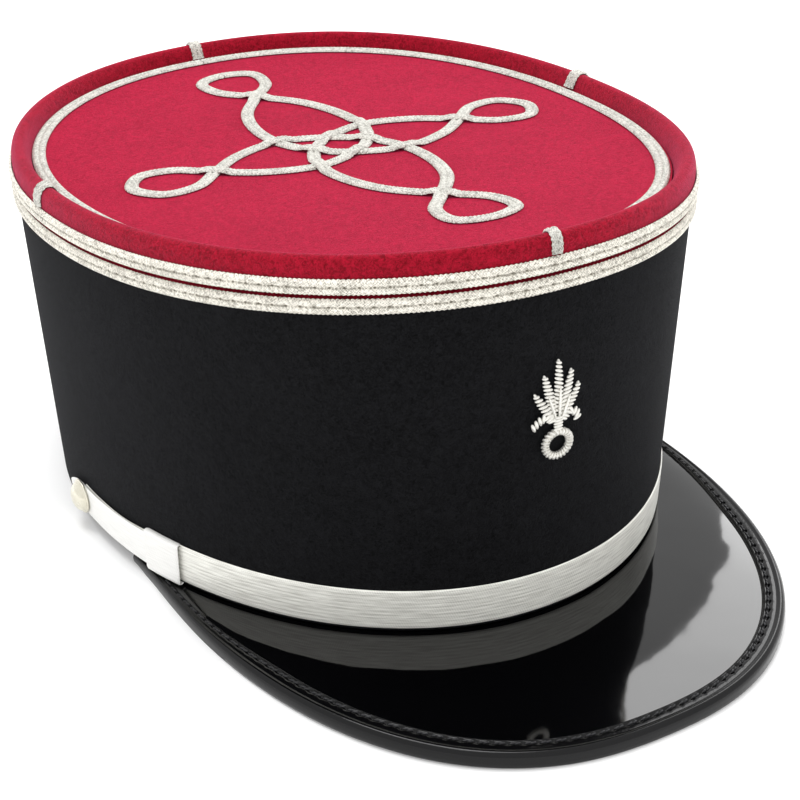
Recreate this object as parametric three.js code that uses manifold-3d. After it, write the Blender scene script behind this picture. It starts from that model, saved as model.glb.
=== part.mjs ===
// Kepi: a stiff round dress cap with a black cloth band, a red crown and a patent leather peak.
// Millimetres, +Z up. The front of the cap faces -Y and the wearer's left is +X.
// The pieces are drawn in the cap's own frame, whose z = 0 is the seam of band and strap, and
// are then tipped so that the cap stands on the back of its band and the front of its peak.

import * as THREE from 'three';
import { mergeVertices } from 'three/addons/utils/BufferGeometryUtils.js';
import Module from 'manifold-3d';

// Driving sizes of the body. An oval is a superellipse that spreads toward the back.
const BASE = { halfWidth: 83.5, halfLength: 104, power: 2.03, backSpread: 0.04, centreY: 0 };
const TOP = { halfWidth: 86.2, halfLength: 107.5, power: 2.14, backSpread: 0.074, centreY: -5.3 };
const CREST_HEIGHT = 101.4;
const CREST_FORWARD_RISE = 0.025;
const CREST_SADDLE = 2.1;
const WALL = 2.5;
const BAND_FOOT = -0.5;
const GAP = 0.3;

// Depths below the crest line of the rolled rim.
const RIM_ROLL = 2.7;
const DISC_DROP = 4.8;
const DISC_THICKNESS = 2;
const RIM_WIDTH = 5.5;
const RIM_SLOPE = { across: 0.66, down: 0.36 };
const SEAM_DROP = 12.2;
const GALON_UPPER = { top: 5.1, foot: 9.4 };
const GALON_LOWER = { top: 10.1, foot: 14.4 };
const GALON_THICKNESS = 1.1;

// Flat soutache braid of the crown.
const BRAID_WIDTH = 3.7;
const BRAID_THICKNESS = 1.1;
const RING_INSET = 5.9;
const TAB_WIDTH = 3.8;
const SIDE_TAB_TURN = 4.5;
const FRONT_TAB_TURN = -2.6;
const TAB_LEAN = { across: 0.45, down: 0.9, under: 1.2, foot: 0.62 };

// Chin strap, measured up from the seam and round from the front in degrees.
const STRAP = { foot: 0.3, top: 12.2, thickness: 1, reach: 92 };
const STRAP_END = { foot: 0.6, top: 11.9, thickness: 1, from: 69.8, to: 98, point: 0.8 };
const SLIDE = { foot: -0.5, top: 12.9, from: 66, to: 73.5, plate: 0.8, lip: 0.5 };
const BUTTON = { radius: 5, dome: 3.2, turn: 92.5, height: 6.3 };

// Peak: plan outline of its outer edge, and heights of that edge's upper side. From rootY the
// edge runs on back under the band as a tail, which takes the given share of it at either end.
const PEAK = { halfWidth: 80.6, rootY: -38, tipY: -155, power: 2.38, sweep: 79 };
const TAIL = { share: 0.06, y: -21, spread: 0.6, height: 2.4 };
const PEAK_THICKNESS = 2;
const PEAK_ROOT = BAND_FOOT - GAP;
const EDGE_SIDE = -1.3;
const EDGE_TIP = -3.6;
const PEAK_ARCH = 0.8;
const BINDING = { width: 6, endWidth: 3, height: 4.5, lip: 0.6, back: 2 };

// Embroidered badge: its turn from the front, its lean, and the middle height of its ring.
const BADGE = { turn: -0.85, lean: 0.038, ringHeight: 50.6, ringRadius: 3.3, cord: 1.05 };

const BAND_STATIONS = 96;
const STRAP_STATIONS = 65;
const STRAP_END_STATIONS = 15;
const TAB_STATIONS = 3;
const PEAK_STATIONS = 48;
const DEGREES = Math.PI / 180;
const FRONT = -90;

const FINISH = {
  blackCloth: { color: 0x232326, roughness: 0.95, metalness: 0 },
  redCloth: { color: 0xb8203f, roughness: 0.95, metalness: 0 },
  silverBraid: { color: 0xdedcd0, roughness: 0.5, metalness: 0.35 },
  whiteBraid: { color: 0xf0f0ea, roughness: 0.45, metalness: 0.2 },
  palMetal: { color: 0xe2e0cc, roughness: 0.3, metalness: 0.8 },
  patent: { color: 0x0a0a0c, roughness: 0.08, metalness: 0 },
};

const wasm = await Module();
wasm.setup();

// ---- shapes of the body ------------------------------------------------------------------

function ovalPoint(oval, degrees) {
  const cos = Math.cos(degrees * DEGREES);
  const sin = Math.sin(degrees * DEGREES);
  const along = Math.sign(sin) * Math.abs(sin) ** (2 / oval.power);
  const across = Math.sign(cos) * Math.abs(cos) ** (2 / oval.power);
  const spread = 1 + oval.backSpread * along;
  return new THREE.Vector2(across * oval.halfWidth * spread, oval.centreY + along * oval.halfLength);
}

// Height of the crest line over a place: it rises forward, and front and back above the sides.
function crestHeight(y) {
  const saddle = CREST_SADDLE * (2 * (y / TOP.halfLength) ** 2 - 1);
  return CREST_HEIGHT - CREST_FORWARD_RISE * y + saddle;
}

function wallPlan(degrees, height) {
  const low = ovalPoint(BASE, degrees);
  const high = ovalPoint(TOP, degrees);
  return low.lerp(high, height / crestHeight(high.y));
}

// Spot at a height on the wall, moved out from its face.
function wallSpot(degrees, out, height) {
  const step = 0.5;
  const plan = wallPlan(degrees, height);
  const along = wallPlan(degrees + step, height).sub(wallPlan(degrees - step, height)).normalize();
  return new THREE.Vector3(plan.x + along.y * out, plan.y - along.x * out, height);
}

// Spot below the crest line, moved in from the wall's face.
function crownSpot(degrees, inset, drop) {
  const edge = crestHeight(ovalPoint(TOP, degrees).y) - drop;
  const spot = wallSpot(degrees, -inset, edge);
  spot.z = crestHeight(spot.y) - drop;
  return spot;
}

function turns(from, to, count) {
  return Array.from({ length: count }, (_, i) => from + (to - from) * (i / (count - 1)));
}

function fullTurn() {
  return turns(0, 360, BAND_STATIONS + 1).slice(0, BAND_STATIONS);
}

// ---- mesh building -----------------------------------------------------------------------

function signedVolume(points, faces) {
  let sum = 0;
  for (let i = 0; i < faces.length; i += 3) {
    const [a, b, c] = [points[faces[i]], points[faces[i + 1]], points[faces[i + 2]]];
    sum += a.dot(new THREE.Vector3().crossVectors(b, c));
  }
  return sum;
}

function solid(points, faces) {
  const outward = signedVolume(points, faces) > 0;
  const geometry = new THREE.BufferGeometry().setFromPoints(points);
  geometry.setIndex(outward ? faces : faces.slice().reverse());
  return geometry;
}

// Faces that close the two ends of a swept outline.
function endFaces(outline, lastRow) {
  const contour = outline.map(([a, b]) => new THREE.Vector2(a, b));
  const turn = Math.sign(THREE.ShapeUtils.area(contour));
  const faces = [];
  for (const [i, j, k] of THREE.ShapeUtils.triangulateShape(contour, [])) {
    const same = Math.sign(THREE.ShapeUtils.area([contour[i], contour[j], contour[k]])) === turn;
    const [p, q] = same ? [j, k] : [k, j];
    faces.push(i, p, q, lastRow + i, lastRow + q, lastRow + p);
  }
  return faces;
}

// Sweeps a closed outline of (a, b) pairs through stations; spot(station, a, b) places a corner.
function sweep(outline, stations, closed, spot) {
  const count = outline.length;
  const points = stations.flatMap((station) => outline.map(([a, b]) => spot(station, a, b)));
  const faces = [];
  const rows = closed ? stations.length : stations.length - 1;
  for (let row = 0; row < rows; row += 1) {
    const here = row * count;
    const next = ((row + 1) % stations.length) * count;
    for (let j = 0; j < count; j += 1) {
      const k = (j + 1) % count;
      faces.push(here + j, next + j, next + k, here + j, next + k, here + k);
    }
  }
  if (!closed) {
    faces.push(...endFaces(outline, (stations.length - 1) * count));
  }
  return solid(points, faces);
}

function toManifold(geometry) {
  const plain = geometry.clone();
  plain.deleteAttribute('normal');
  plain.deleteAttribute('uv');
  const merged = mergeVertices(plain);
  const mesh = new wasm.Mesh({
    numProp: 3,
    vertProperties: new Float32Array(merged.attributes.position.array),
    triVerts: new Uint32Array(merged.index.array),
  });
  return new wasm.Manifold(mesh);
}

function fromManifold(shape) {
  const { vertProperties, triVerts } = shape.getMesh();
  const geometry = new THREE.BufferGeometry();
  geometry.setAttribute('position', new THREE.Float32BufferAttribute(vertProperties, 3));
  geometry.setIndex(Array.from(triVerts));
  return geometry;
}

// ---- band and crown ----------------------------------------------------------------------

// Black cloth wall, open below, up to the seam that the lower galon covers.
function bandShape() {
  const levels = turns(0, 1, 4);
  const outline = [
    ...levels.map((level) => [0, level]),
    ...levels.slice().reverse().map((level) => [WALL, level]),
  ];
  return sweep(outline, fullTurn(), true, (turn, inset, level) => {
    const seam = crownSpot(turn, inset, SEAM_DROP).z;
    return wallSpot(turn, -inset, BAND_FOOT + (seam - BAND_FOOT) * level);
  });
}

// Red cloth from the seam up and over the rolled rim and down to the sunken disc.
function rimShape() {
  const roll = turns(0, 90, 5).map((angle) => [
    RIM_ROLL * (1 - Math.cos(angle * DEGREES)),
    RIM_ROLL * (1 - Math.sin(angle * DEGREES)),
  ]);
  const slopeMiddle = [RIM_WIDTH * RIM_SLOPE.across, DISC_DROP * RIM_SLOPE.down];
  const discFoot = DISC_DROP + DISC_THICKNESS + GAP;
  const outline = [
    [0, SEAM_DROP - GAP],
    ...roll,
    slopeMiddle,
    [RIM_WIDTH, DISC_DROP],
    [RIM_WIDTH, discFoot],
    [WALL + RIM_ROLL, discFoot],
    [WALL, discFoot + RIM_ROLL],
    [WALL, SEAM_DROP - GAP],
  ];
  return sweep(outline, fullTurn(), true, crownSpot);
}

// Crown disc as rings of quads about a middle point, so that it follows the saddle of the crest.
function discShape() {
  const shares = [1, 0.8, 0.6, 0.4, 0.2];
  const middleY = TOP.centreY;
  const faceCount = BAND_STATIONS / 2;
  const stations = turns(0, 360, faceCount + 1).slice(0, faceCount);
  const points = [];
  for (const drop of [DISC_DROP, DISC_DROP + DISC_THICKNESS]) {
    for (const share of shares) {
      for (const turn of stations) {
        const edge = crownSpot(turn, RIM_WIDTH + GAP, drop);
        const y = middleY + (edge.y - middleY) * share;
        points.push(new THREE.Vector3(edge.x * share, y, crestHeight(y) - drop));
      }
    }
    points.push(new THREE.Vector3(0, middleY, crestHeight(middleY) - drop));
  }
  const side = shares.length * faceCount + 1;
  const faces = [];
  const quad = (a, b, c, d) => faces.push(a, b, c, a, c, d);
  for (let i = 0; i < faceCount; i += 1) {
    const j = (i + 1) % faceCount;
    for (let ring = 0; ring < shares.length - 1; ring += 1) {
      const outer = ring * faceCount;
      const inner = outer + faceCount;
      quad(outer + i, outer + j, inner + j, inner + i);
      quad(side + outer + j, side + outer + i, side + inner + i, side + inner + j);
    }
    const last = (shares.length - 1) * faceCount;
    faces.push(last + i, last + j, side - 1);
    faces.push(side + last + j, side + last + i, 2 * side - 1);
    quad(j, i, side + i, side + j);
  }
  return solid(points, faces);
}

// Silver braid round the wall, a flat strip with eased edges.
function galonShape({ top, foot }) {
  const ease = 0.4;
  const outer = GAP + GALON_THICKNESS;
  const outline = [
    [GAP, foot],
    [outer - ease, foot],
    [outer, foot - ease],
    [outer, top + ease],
    [outer - ease, top],
    [GAP, top],
  ];
  return sweep(outline, fullTurn(), true, (turn, out, drop) => {
    const height = crestHeight(ovalPoint(TOP, turn).y) - drop;
    return wallSpot(turn, out, height);
  });
}

// Flat braid laid on the disc just inside the rim.
function crownRingShape() {
  const ease = 0.4;
  const low = DISC_DROP - GAP;
  const high = low - BRAID_THICKNESS;
  const inner = RING_INSET + BRAID_WIDTH;
  const outline = [
    [RING_INSET, low],
    [RING_INSET, high + ease],
    [RING_INSET + ease, high],
    [inner - ease, high],
    [inner, high + ease],
    [inner, low],
  ];
  return sweep(outline, fullTurn(), true, crownSpot);
}

// Short braid from the upper galon over the rim to the crown ring.
function tabShape(turn) {
  const rise = GAP + BRAID_THICKNESS;
  const arc = (radius) => turns(0, 90, 5).map((angle) => [
    RIM_ROLL - radius * Math.cos(angle * DEGREES),
    RIM_ROLL - radius * Math.sin(angle * DEGREES),
  ]);
  const foot = GALON_UPPER.top - GAP;
  const end = RING_INSET - GAP;
  const slope = [RIM_WIDTH * RIM_SLOPE.across, DISC_DROP * RIM_SLOPE.down];
  const outline = [
    [-rise, foot],
    ...arc(RIM_ROLL + rise),
    [slope[0] + rise * TAB_LEAN.across, slope[1] - rise * TAB_LEAN.down],
    [end, DISC_DROP - 2 * rise],
    [end, DISC_DROP - rise * TAB_LEAN.foot],
    [slope[0] + GAP * TAB_LEAN.across, slope[1] - GAP * TAB_LEAN.under],
    ...arc(RIM_ROLL + GAP).reverse(),
    [-GAP, foot],
  ];
  const radius = ovalPoint(TOP, turn).distanceTo(new THREE.Vector2(0, TOP.centreY));
  const half = TAB_WIDTH / 2 / radius / DEGREES;
  return sweep(outline, turns(turn - half, turn + half, TAB_STATIONS), false, crownSpot);
}

// Quarter of the knot's closed path, from the tip of the back loop to the tip of the left loop,
// about the middle of the disc. The other quarters mirror it.
const KNOT_QUARTER = [
  { x: 0, y: 79 },
  { x: 8.6, y: 75.5 },
  { x: 8.2, y: 65 },
  { x: 0, y: 54.5 },
  { x: -9.5, y: 41 },
  { x: -13.8, y: 24 },
  { x: -12.6, y: 9 },
  { x: -6.5, y: -2.5 },
  { x: 2.5, y: -9.5 },
  { x: 14, y: -13 },
  { x: 28, y: -8.5 },
  { x: 38.5, y: 0 },
  { x: 47.6, y: 8.2 },
  { x: 57, y: 8.8 },
  { x: 62.2, y: 0 },
];
const KNOT_MIDDLE = { x: 0, y: -0.6 };

function knotPath() {
  const go = (sx, sy) => KNOT_QUARTER.map(({ x, y }) => new THREE.Vector3(sx * x, sy * y, 0));
  const legs = [go(1, 1), go(1, -1).reverse(), go(-1, -1), go(-1, 1).reverse()];
  const points = legs.flatMap((leg) => leg.slice(0, -1));
  return new THREE.CatmullRomCurve3(points, true, 'centripetal');
}

// Hungarian knot: one braid in four loops, drawn flat and then laid on the saddle of the disc.
function knotShape() {
  const segments = 110;
  const { CrossSection } = wasm;
  const spots = knotPath().getSpacedPoints(segments);
  const sides = 8;
  const dot = CrossSection.circle(BRAID_WIDTH / 2, sides);
  const steps = [];
  for (let i = 0; i < segments; i += 1) {
    const here = dot.translate([spots[i].x, spots[i].y]);
    const next = dot.translate([spots[i + 1].x, spots[i + 1].y]);
    steps.push(CrossSection.hull([here, next]));
  }
  const slack = 0.05;
  const flat = CrossSection.union(steps).simplify(slack);
  const plate = flat.extrude(BRAID_THICKNESS).translate([KNOT_MIDDLE.x, KNOT_MIDDLE.y, 0]);
  return fromManifold(plate.warp((corner) => {
    corner[2] += crestHeight(corner[1]) - DISC_DROP + GAP;
  }));
}

// ---- chin strap --------------------------------------------------------------------------

// Strip on the wall; past the button it narrows to a rounded point.
function bandStrip(strip, out, from, to, count) {
  const ease = 0.3;
  const outer = out + strip.thickness;
  const outline = [
    [out, strip.foot],
    [outer - ease, strip.foot],
    [outer, strip.foot + ease],
    [outer, strip.top - ease],
    [outer - ease, strip.top],
    [out, strip.top],
  ];
  const middle = (strip.foot + strip.top) / 2;
  return sweep(outline, turns(from, to, count), false, (turn, reach, height) => {
    const past = Math.max(0, Math.abs(turn - FRONT) - BUTTON.turn) / (STRAP_END.to - BUTTON.turn);
    return wallSpot(turn, reach, middle + (height - middle) * (1 - STRAP_END.point * past ** 2));
  });
}

function strapShape() {
  return bandStrip(STRAP, GAP, FRONT - STRAP.reach, FRONT + STRAP.reach, STRAP_STATIONS);
}

function strapEndShape(side) {
  const out = GAP + STRAP.thickness + GAP;
  const from = FRONT + side * STRAP_END.from;
  const to = FRONT + side * STRAP_END.to;
  return bandStrip(STRAP_END, out, from, to, STRAP_END_STATIONS);
}

// Slide round the doubled strap: a plate in front with a lip over and a lip under.
function slideShape(side) {
  const inner = GAP + STRAP.thickness + GAP + STRAP_END.thickness + GAP;
  const outer = inner + SLIDE.plate;
  const ease = 0.35;
  const outline = [
    [GAP, SLIDE.top],
    [outer - ease, SLIDE.top],
    [outer, SLIDE.top - ease],
    [outer, SLIDE.foot + ease],
    [outer - ease, SLIDE.foot],
    [GAP, SLIDE.foot],
    [GAP, SLIDE.foot + SLIDE.lip],
    [inner, SLIDE.foot + SLIDE.lip],
    [inner, SLIDE.top - SLIDE.lip],
    [GAP, SLIDE.top - SLIDE.lip],
  ];
  const stations = turns(FRONT + side * SLIDE.from, FRONT + side * SLIDE.to, 5);
  return sweep(outline, stations, false, wallSpot);
}

// Domed button on the end of the strap, its axis square to the wall.
function buttonShape(side) {
  const rim = 0.8;
  const profile = [
    new THREE.Vector2(0, 0),
    new THREE.Vector2(BUTTON.radius, 0),
    ...turns(0, 90, 5).map((angle) => new THREE.Vector2(
      BUTTON.radius * Math.cos(angle * DEGREES),
      rim + (BUTTON.dome - rim) * Math.sin(angle * DEGREES),
    )),
  ];
  profile[profile.length - 1].x = 0;
  const turn = FRONT + side * BUTTON.turn;
  const seat = 2 * GAP + STRAP.thickness + STRAP_END.thickness + GAP;
  const foot = wallSpot(turn, seat, BUTTON.height);
  const axis = wallSpot(turn, seat + 1, BUTTON.height).sub(foot);
  const upright = new THREE.Quaternion().setFromUnitVectors(new THREE.Vector3(0, 1, 0), axis);
  const shape = new THREE.LatheGeometry(profile, 20);
  shape.applyQuaternion(upright);
  shape.translate(foot.x, foot.y, foot.z);
  return shape;
}

// ---- peak --------------------------------------------------------------------------------

// Plan of the peak's outer edge; share runs from 0 at the right root to 1 at the left root.
function edgePlan(share) {
  const fromRoot = Math.min(share, 1 - share);
  if (fromRoot < TAIL.share) {
    const back = 1 - fromRoot / TAIL.share;
    const x = PEAK.halfWidth + TAIL.spread * back ** 2;
    return new THREE.Vector2(share < 0.5 ? -x : x, PEAK.rootY + back * (TAIL.y - PEAK.rootY));
  }
  const angle = Math.PI * (1 - (share - TAIL.share) / (1 - 2 * TAIL.share));
  const across = Math.sign(Math.cos(angle)) * Math.abs(Math.cos(angle)) ** (2 / PEAK.power);
  const along = Math.abs(Math.sin(angle)) ** (2 / PEAK.power);
  return new THREE.Vector2(across * PEAK.halfWidth, PEAK.rootY + along * (PEAK.tipY - PEAK.rootY));
}

function edgeHeight(x) {
  return EDGE_TIP + (EDGE_SIDE - EDGE_TIP) * Math.min(1, (x / PEAK.halfWidth) ** 2);
}

// Spot moved in from the outer edge and up or down from the edge's upper side.
function edgeSpot(share, inset, rise) {
  const step = 0.004;
  const plan = edgePlan(share);
  const along = edgePlan(share + step).sub(edgePlan(share - step)).normalize();
  return new THREE.Vector3(plan.x - along.y * inset, plan.y + along.x * inset, edgeHeight(plan.x) + rise);
}

// The binding's lips narrow toward the roots of the peak, and its tails grow thin.
function bindingWidth(share) {
  const fromRoot = Math.min(share, 1 - share);
  const fullness = THREE.MathUtils.smoothstep(fromRoot, TAIL.share, 3 * TAIL.share);
  return THREE.MathUtils.lerp(BINDING.endWidth, BINDING.width, fullness);
}

function bindingThinning(share) {
  const fullness = THREE.MathUtils.smoothstep(Math.min(share, 1 - share), 0, TAIL.share);
  return THREE.MathUtils.lerp(TAIL.height / BINDING.height, 1, fullness);
}

// Patent leather board from under the band's foot to the binding, with a flat tongue inside it.
function peakShape() {
  const tongue = 2;
  const across = [0, 0.25, 0.5, 0.75, 1, tongue];
  const edgeDrop = BINDING.lip + GAP;
  const outline = [
    ...across.map((reach) => [reach, 0]),
    ...across.slice().reverse().map((reach) => [reach, -PEAK_THICKNESS]),
  ];
  const stations = turns(TAIL.share, 1 - TAIL.share, PEAK_STATIONS);
  return sweep(outline, stations, false, (share, reach, rise) => {
    if (reach === tongue) {
      return edgeSpot(share, BINDING.back + GAP, rise - edgeDrop);
    }
    const turn = FRONT + (2 * share - 1) * PEAK.sweep;
    const root = wallSpot(turn, GAP - WALL, PEAK_ROOT);
    const spot = root.lerp(edgeSpot(share, bindingWidth(share) + GAP, -edgeDrop), reach);
    spot.z += rise + PEAK_ARCH * Math.sin(Math.PI * reach) * Math.sin(Math.PI * share);
    return spot;
  });
}

// Folded edge strip that clasps the board: a lip above, a lip below and a rounded outer side.
function bindingShape() {
  const foot = -BINDING.height;
  const slotFoot = -(BINDING.lip + PEAK_THICKNESS + 2 * GAP);
  const outline = [
    { inset: 1, rise: foot },
    { inset: 0.25, rise: foot + 0.3 },
    { inset: 0, rise: foot + 1 },
    { inset: 0, rise: -1 },
    { inset: 0.3, rise: -0.25 },
    { inset: 1, rise: 0 },
    { inset: BINDING.width, rise: 0 },
    { inset: BINDING.width, rise: -BINDING.lip },
    { inset: BINDING.back, rise: -BINDING.lip },
    { inset: BINDING.back, rise: slotFoot },
    { inset: BINDING.width, rise: slotFoot },
    { inset: BINDING.width, rise: foot },
  ].map(({ inset, rise }) => [inset, rise]);
  const stations = turns(0, 1, PEAK_STATIONS);
  return sweep(outline, stations, false, (share, inset, rise) => {
    const depth = inset === BINDING.width ? bindingWidth(share) : inset;
    return edgeSpot(share, depth, rise * bindingThinning(share));
  });
}

// ---- badge -------------------------------------------------------------------------------

// Lays a flat drawing (x across, y up, z out) on the front of the band.
function onFront(geometry) {
  const middle = ovalPoint(BASE, FRONT + BADGE.turn);
  const perDegree = ovalPoint(BASE, FRONT + BADGE.turn + 1).distanceTo(middle);
  const places = geometry.attributes.position;
  for (let i = 0; i < places.count; i += 1) {
    const height = places.getY(i);
    const across = places.getX(i) - BADGE.lean * (height - BADGE.ringHeight);
    const turn = FRONT + BADGE.turn + across / perDegree;
    const spot = wallSpot(turn, GAP + places.getZ(i), height);
    places.setXYZ(i, spot.x, spot.y, spot.z);
  }
  return geometry;
}

function badgeRingShape() {
  const sides = 8;
  const stations = 24;
  const ring = new THREE.TorusGeometry(BADGE.ringRadius, BADGE.cord, sides, stations);
  ring.translate(0, BADGE.ringHeight, BADGE.cord);
  return onFront(fromManifold(toManifold(ring)));
}

// Flames as padded leaves from the neck, with a sprig at either side.
const FLAMES = [
  { footX: 0, footY: 55.4, tipX: 0, tipY: 74, width: 3.2 },
  { footX: 0.7, footY: 57.6, tipX: 3.5, tipY: 70.8, width: 2.8 },
  { footX: -0.7, footY: 57.6, tipX: -3.5, tipY: 70.6, width: 2.8 },
  { footX: 0.9, footY: 57.6, tipX: 5.9, tipY: 66, width: 2.5 },
  { footX: -0.9, footY: 57.6, tipX: -5.9, tipY: 66, width: 2.5 },
  { footX: 0.4, footY: 58, tipX: 6.3, tipY: 57.2, width: 2.2 },
  { footX: -0.4, footY: 58, tipX: -6.3, tipY: 57.2, width: 2.2 },
];

function leaf({ footX, footY, tipX, tipY, width }) {
  const length = Math.hypot(tipX - footX, tipY - footY);
  const sides = 10;
  const rings = 6;
  const sunk = 0.3;
  const shape = new THREE.SphereGeometry(0.5, sides, rings);
  shape.scale(width, length, width);
  shape.rotateZ(Math.atan2(footX - tipX, tipY - footY));
  shape.translate((footX + tipX) / 2, (footY + tipY) / 2, width * sunk);
  return toManifold(shape);
}

function badgeFlamesShape() {
  const wall = wasm.Manifold.cube([40, 60, 10]).translate([-20, 40, -10]);
  const leaves = FLAMES.map(leaf).reduce((sum, next) => sum.add(next));
  return onFront(fromManifold(leaves.subtract(wall)));
}

// ---- assembly ----------------------------------------------------------------------------

// Tip that brings the back foot of the band and the lower front of the peak to one level.
const tipFoot = edgeHeight(0) - BINDING.height;
const REST_TIP = Math.atan2(BAND_FOOT - tipFoot, BASE.halfLength - PEAK.tipY);
const PRESS = 0.3;

// Tips a piece, sets it down, and flattens what would go below the surface it rests on.
function settle(geometry) {
  const restHeight = BAND_FOOT * Math.cos(REST_TIP) - BASE.halfLength * Math.sin(REST_TIP);
  geometry.rotateX(-REST_TIP);
  geometry.translate(0, 0, -restHeight - PRESS);
  const places = geometry.attributes.position;
  for (let i = 0; i < places.count; i += 1) {
    places.setZ(i, Math.max(0, places.getZ(i)));
  }
  return geometry;
}

const PIECES = [
  { name: 'band', finish: 'blackCloth', shape: bandShape() },
  { name: 'turban_rim', finish: 'redCloth', shape: rimShape() },
  { name: 'top_disc', finish: 'redCloth', shape: discShape() },
  { name: 'galon_upper', finish: 'silverBraid', shape: galonShape(GALON_UPPER) },
  { name: 'galon_lower', finish: 'silverBraid', shape: galonShape(GALON_LOWER) },
  { name: 'top_soutache', finish: 'silverBraid', shape: crownRingShape() },
  { name: 'hungarian_knot', finish: 'silverBraid', shape: knotShape() },
  { name: 'rim_tab_front', finish: 'silverBraid', shape: tabShape(FRONT + FRONT_TAB_TURN) },
  { name: 'rim_tab_back', finish: 'silverBraid', shape: tabShape(FRONT + 180) },
  { name: 'rim_tab_left', finish: 'silverBraid', shape: tabShape(SIDE_TAB_TURN) },
  { name: 'rim_tab_right', finish: 'silverBraid', shape: tabShape(180 - SIDE_TAB_TURN) },
  { name: 'chin_strap', finish: 'silverBraid', shape: strapShape() },
  { name: 'strap_end_left', finish: 'whiteBraid', shape: strapEndShape(1) },
  { name: 'strap_end_right', finish: 'whiteBraid', shape: strapEndShape(-1) },
  { name: 'slide_left', finish: 'whiteBraid', shape: slideShape(1) },
  { name: 'slide_right', finish: 'whiteBraid', shape: slideShape(-1) },
  { name: 'button_left', finish: 'palMetal', shape: buttonShape(1) },
  { name: 'button_right', finish: 'palMetal', shape: buttonShape(-1) },
  { name: 'peak', finish: 'patent', shape: peakShape() },
  { name: 'peak_binding', finish: 'patent', shape: bindingShape() },
  { name: 'badge_ring', finish: 'silverBraid', shape: badgeRingShape() },
  { name: 'badge_flames', finish: 'silverBraid', shape: badgeFlamesShape() },
];

const kepi = new THREE.Group();
for (const { name, finish, shape } of PIECES) {
  const mesh = new THREE.Mesh(settle(shape), new THREE.MeshStandardMaterial(FINISH[finish]));
  mesh.name = name;
  kepi.add(mesh);
}

// The origin is the middle of the cap's box, at the level of the surface that it rests on.
const middle = new THREE.Box3().setFromObject(kepi, true).getCenter(new THREE.Vector3());
kepi.children.forEach((mesh) => mesh.geometry.translate(-middle.x, -middle.y, 0));

export default kepi;
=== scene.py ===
import functools
import math

import bmesh
import bpy
import numpy as np
from mathutils import Matrix, Vector


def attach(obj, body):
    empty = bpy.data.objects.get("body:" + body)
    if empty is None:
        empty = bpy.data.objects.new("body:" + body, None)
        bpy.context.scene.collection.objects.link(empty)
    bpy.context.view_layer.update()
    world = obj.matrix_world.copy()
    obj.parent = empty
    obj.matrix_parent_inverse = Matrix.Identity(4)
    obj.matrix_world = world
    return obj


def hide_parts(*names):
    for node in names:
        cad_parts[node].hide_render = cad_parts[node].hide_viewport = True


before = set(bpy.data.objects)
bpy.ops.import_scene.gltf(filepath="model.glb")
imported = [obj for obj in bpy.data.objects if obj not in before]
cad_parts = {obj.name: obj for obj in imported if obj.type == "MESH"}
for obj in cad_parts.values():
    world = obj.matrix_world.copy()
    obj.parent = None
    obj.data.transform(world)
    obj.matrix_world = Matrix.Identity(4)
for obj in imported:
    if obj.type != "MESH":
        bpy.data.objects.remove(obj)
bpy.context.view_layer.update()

# ---- Band ----------------------------------------------------------------------------------
# The wall of the cap: black fulled wool over a stiff liner, cut as one long strip, rolled into
# an oval tube and joined at the back. It leans forward and its top edge follows the crown.

MM = 0.001
FULL_TURN = 2 * math.pi
GAP = 0.3 * MM

BASE_OVAL = {"half_width": 83.5 * MM, "half_length": 104 * MM, "power": 2.03,
             "back_spread": 0.04, "middle": 0}
TOP_OVAL = {"half_width": 86.2 * MM, "half_length": 107.5 * MM, "power": 2.14,
            "back_spread": 0.074, "middle": -5.3 * MM}
CREST_HEIGHT = 101.4 * MM
CREST_FORWARD_RISE = 0.025
CREST_SADDLE = 2.1 * MM
BAND_FOOT = -0.5 * MM
SEAM_DROP = 12.2 * MM
BAND_WALL = 2.4 * MM
CUTS_ROUND = 600  # of a strip that runs all round
SEAM_REACH = 0.05 * MM
LAID_OFF = 0.05 * MM  # gap under what is sewn on the cloth
REST_TIP = math.atan2(7.6, 259)
REST_BACK = 24.368 * MM
REST_LIFT = 3.2506 * MM
TURN_STEP = 0.008  # radians either way, for the wall's direction at a turn
TURNS_ROUND = 1441


def oval_point(oval, turn):
    """Plan of an oval; turn is 0 at the front of the cap and grows toward its left."""
    cos, sin = np.sin(turn), -np.cos(turn)
    across = np.sign(cos) * np.abs(cos) ** (2 / oval["power"])
    along = np.sign(sin) * np.abs(sin) ** (2 / oval["power"])
    spread = 1 + oval["back_spread"] * along
    return np.array([across * oval["half_width"] * spread,
                     oval["middle"] + along * oval["half_length"]])


def crest_height(y):
    saddle = CREST_SADDLE * (2 * (y / TOP_OVAL["half_length"]) ** 2 - 1)
    return CREST_HEIGHT - CREST_FORWARD_RISE * y + saddle


def wall_plan(turn, height):
    low, high = oval_point(BASE_OVAL, turn), oval_point(TOP_OVAL, turn)
    return low + (high - low) * (height / crest_height(high[1]))


def wall_spot(turn, out, height):
    """Spot at a height on the wall, moved out from its face."""
    here = wall_plan(turn, height)
    along = wall_plan(turn + TURN_STEP, height) - wall_plan(turn - TURN_STEP, height)
    along = along / np.hypot(along[0], along[1])
    return np.array([here[0] + along[1] * out, here[1] - along[0] * out, height + 0 * turn])


def crown_spot(turn, inset, drop):
    """Spot below the crest line, moved in from the wall's face."""
    edge = crest_height(oval_point(TOP_OVAL, turn)[1]) - drop
    spot = wall_spot(turn, -inset, edge)
    spot[2] = crest_height(spot[1]) - drop
    return spot


def walk_along(line):
    """Length walked to each point of a flat line, given as a row of x and a row of y."""
    return np.concatenate([[0], np.cumsum(np.hypot(*np.diff(line, axis=1)))])


def round_the_cap(height):
    """Turns round the cap and the length walked to each along the wall, from the front."""
    turns = np.linspace(-math.pi, math.pi, TURNS_ROUND)
    walked = walk_along(wall_plan(turns, height))
    return turns, walked - walked[-1] / 2


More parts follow.
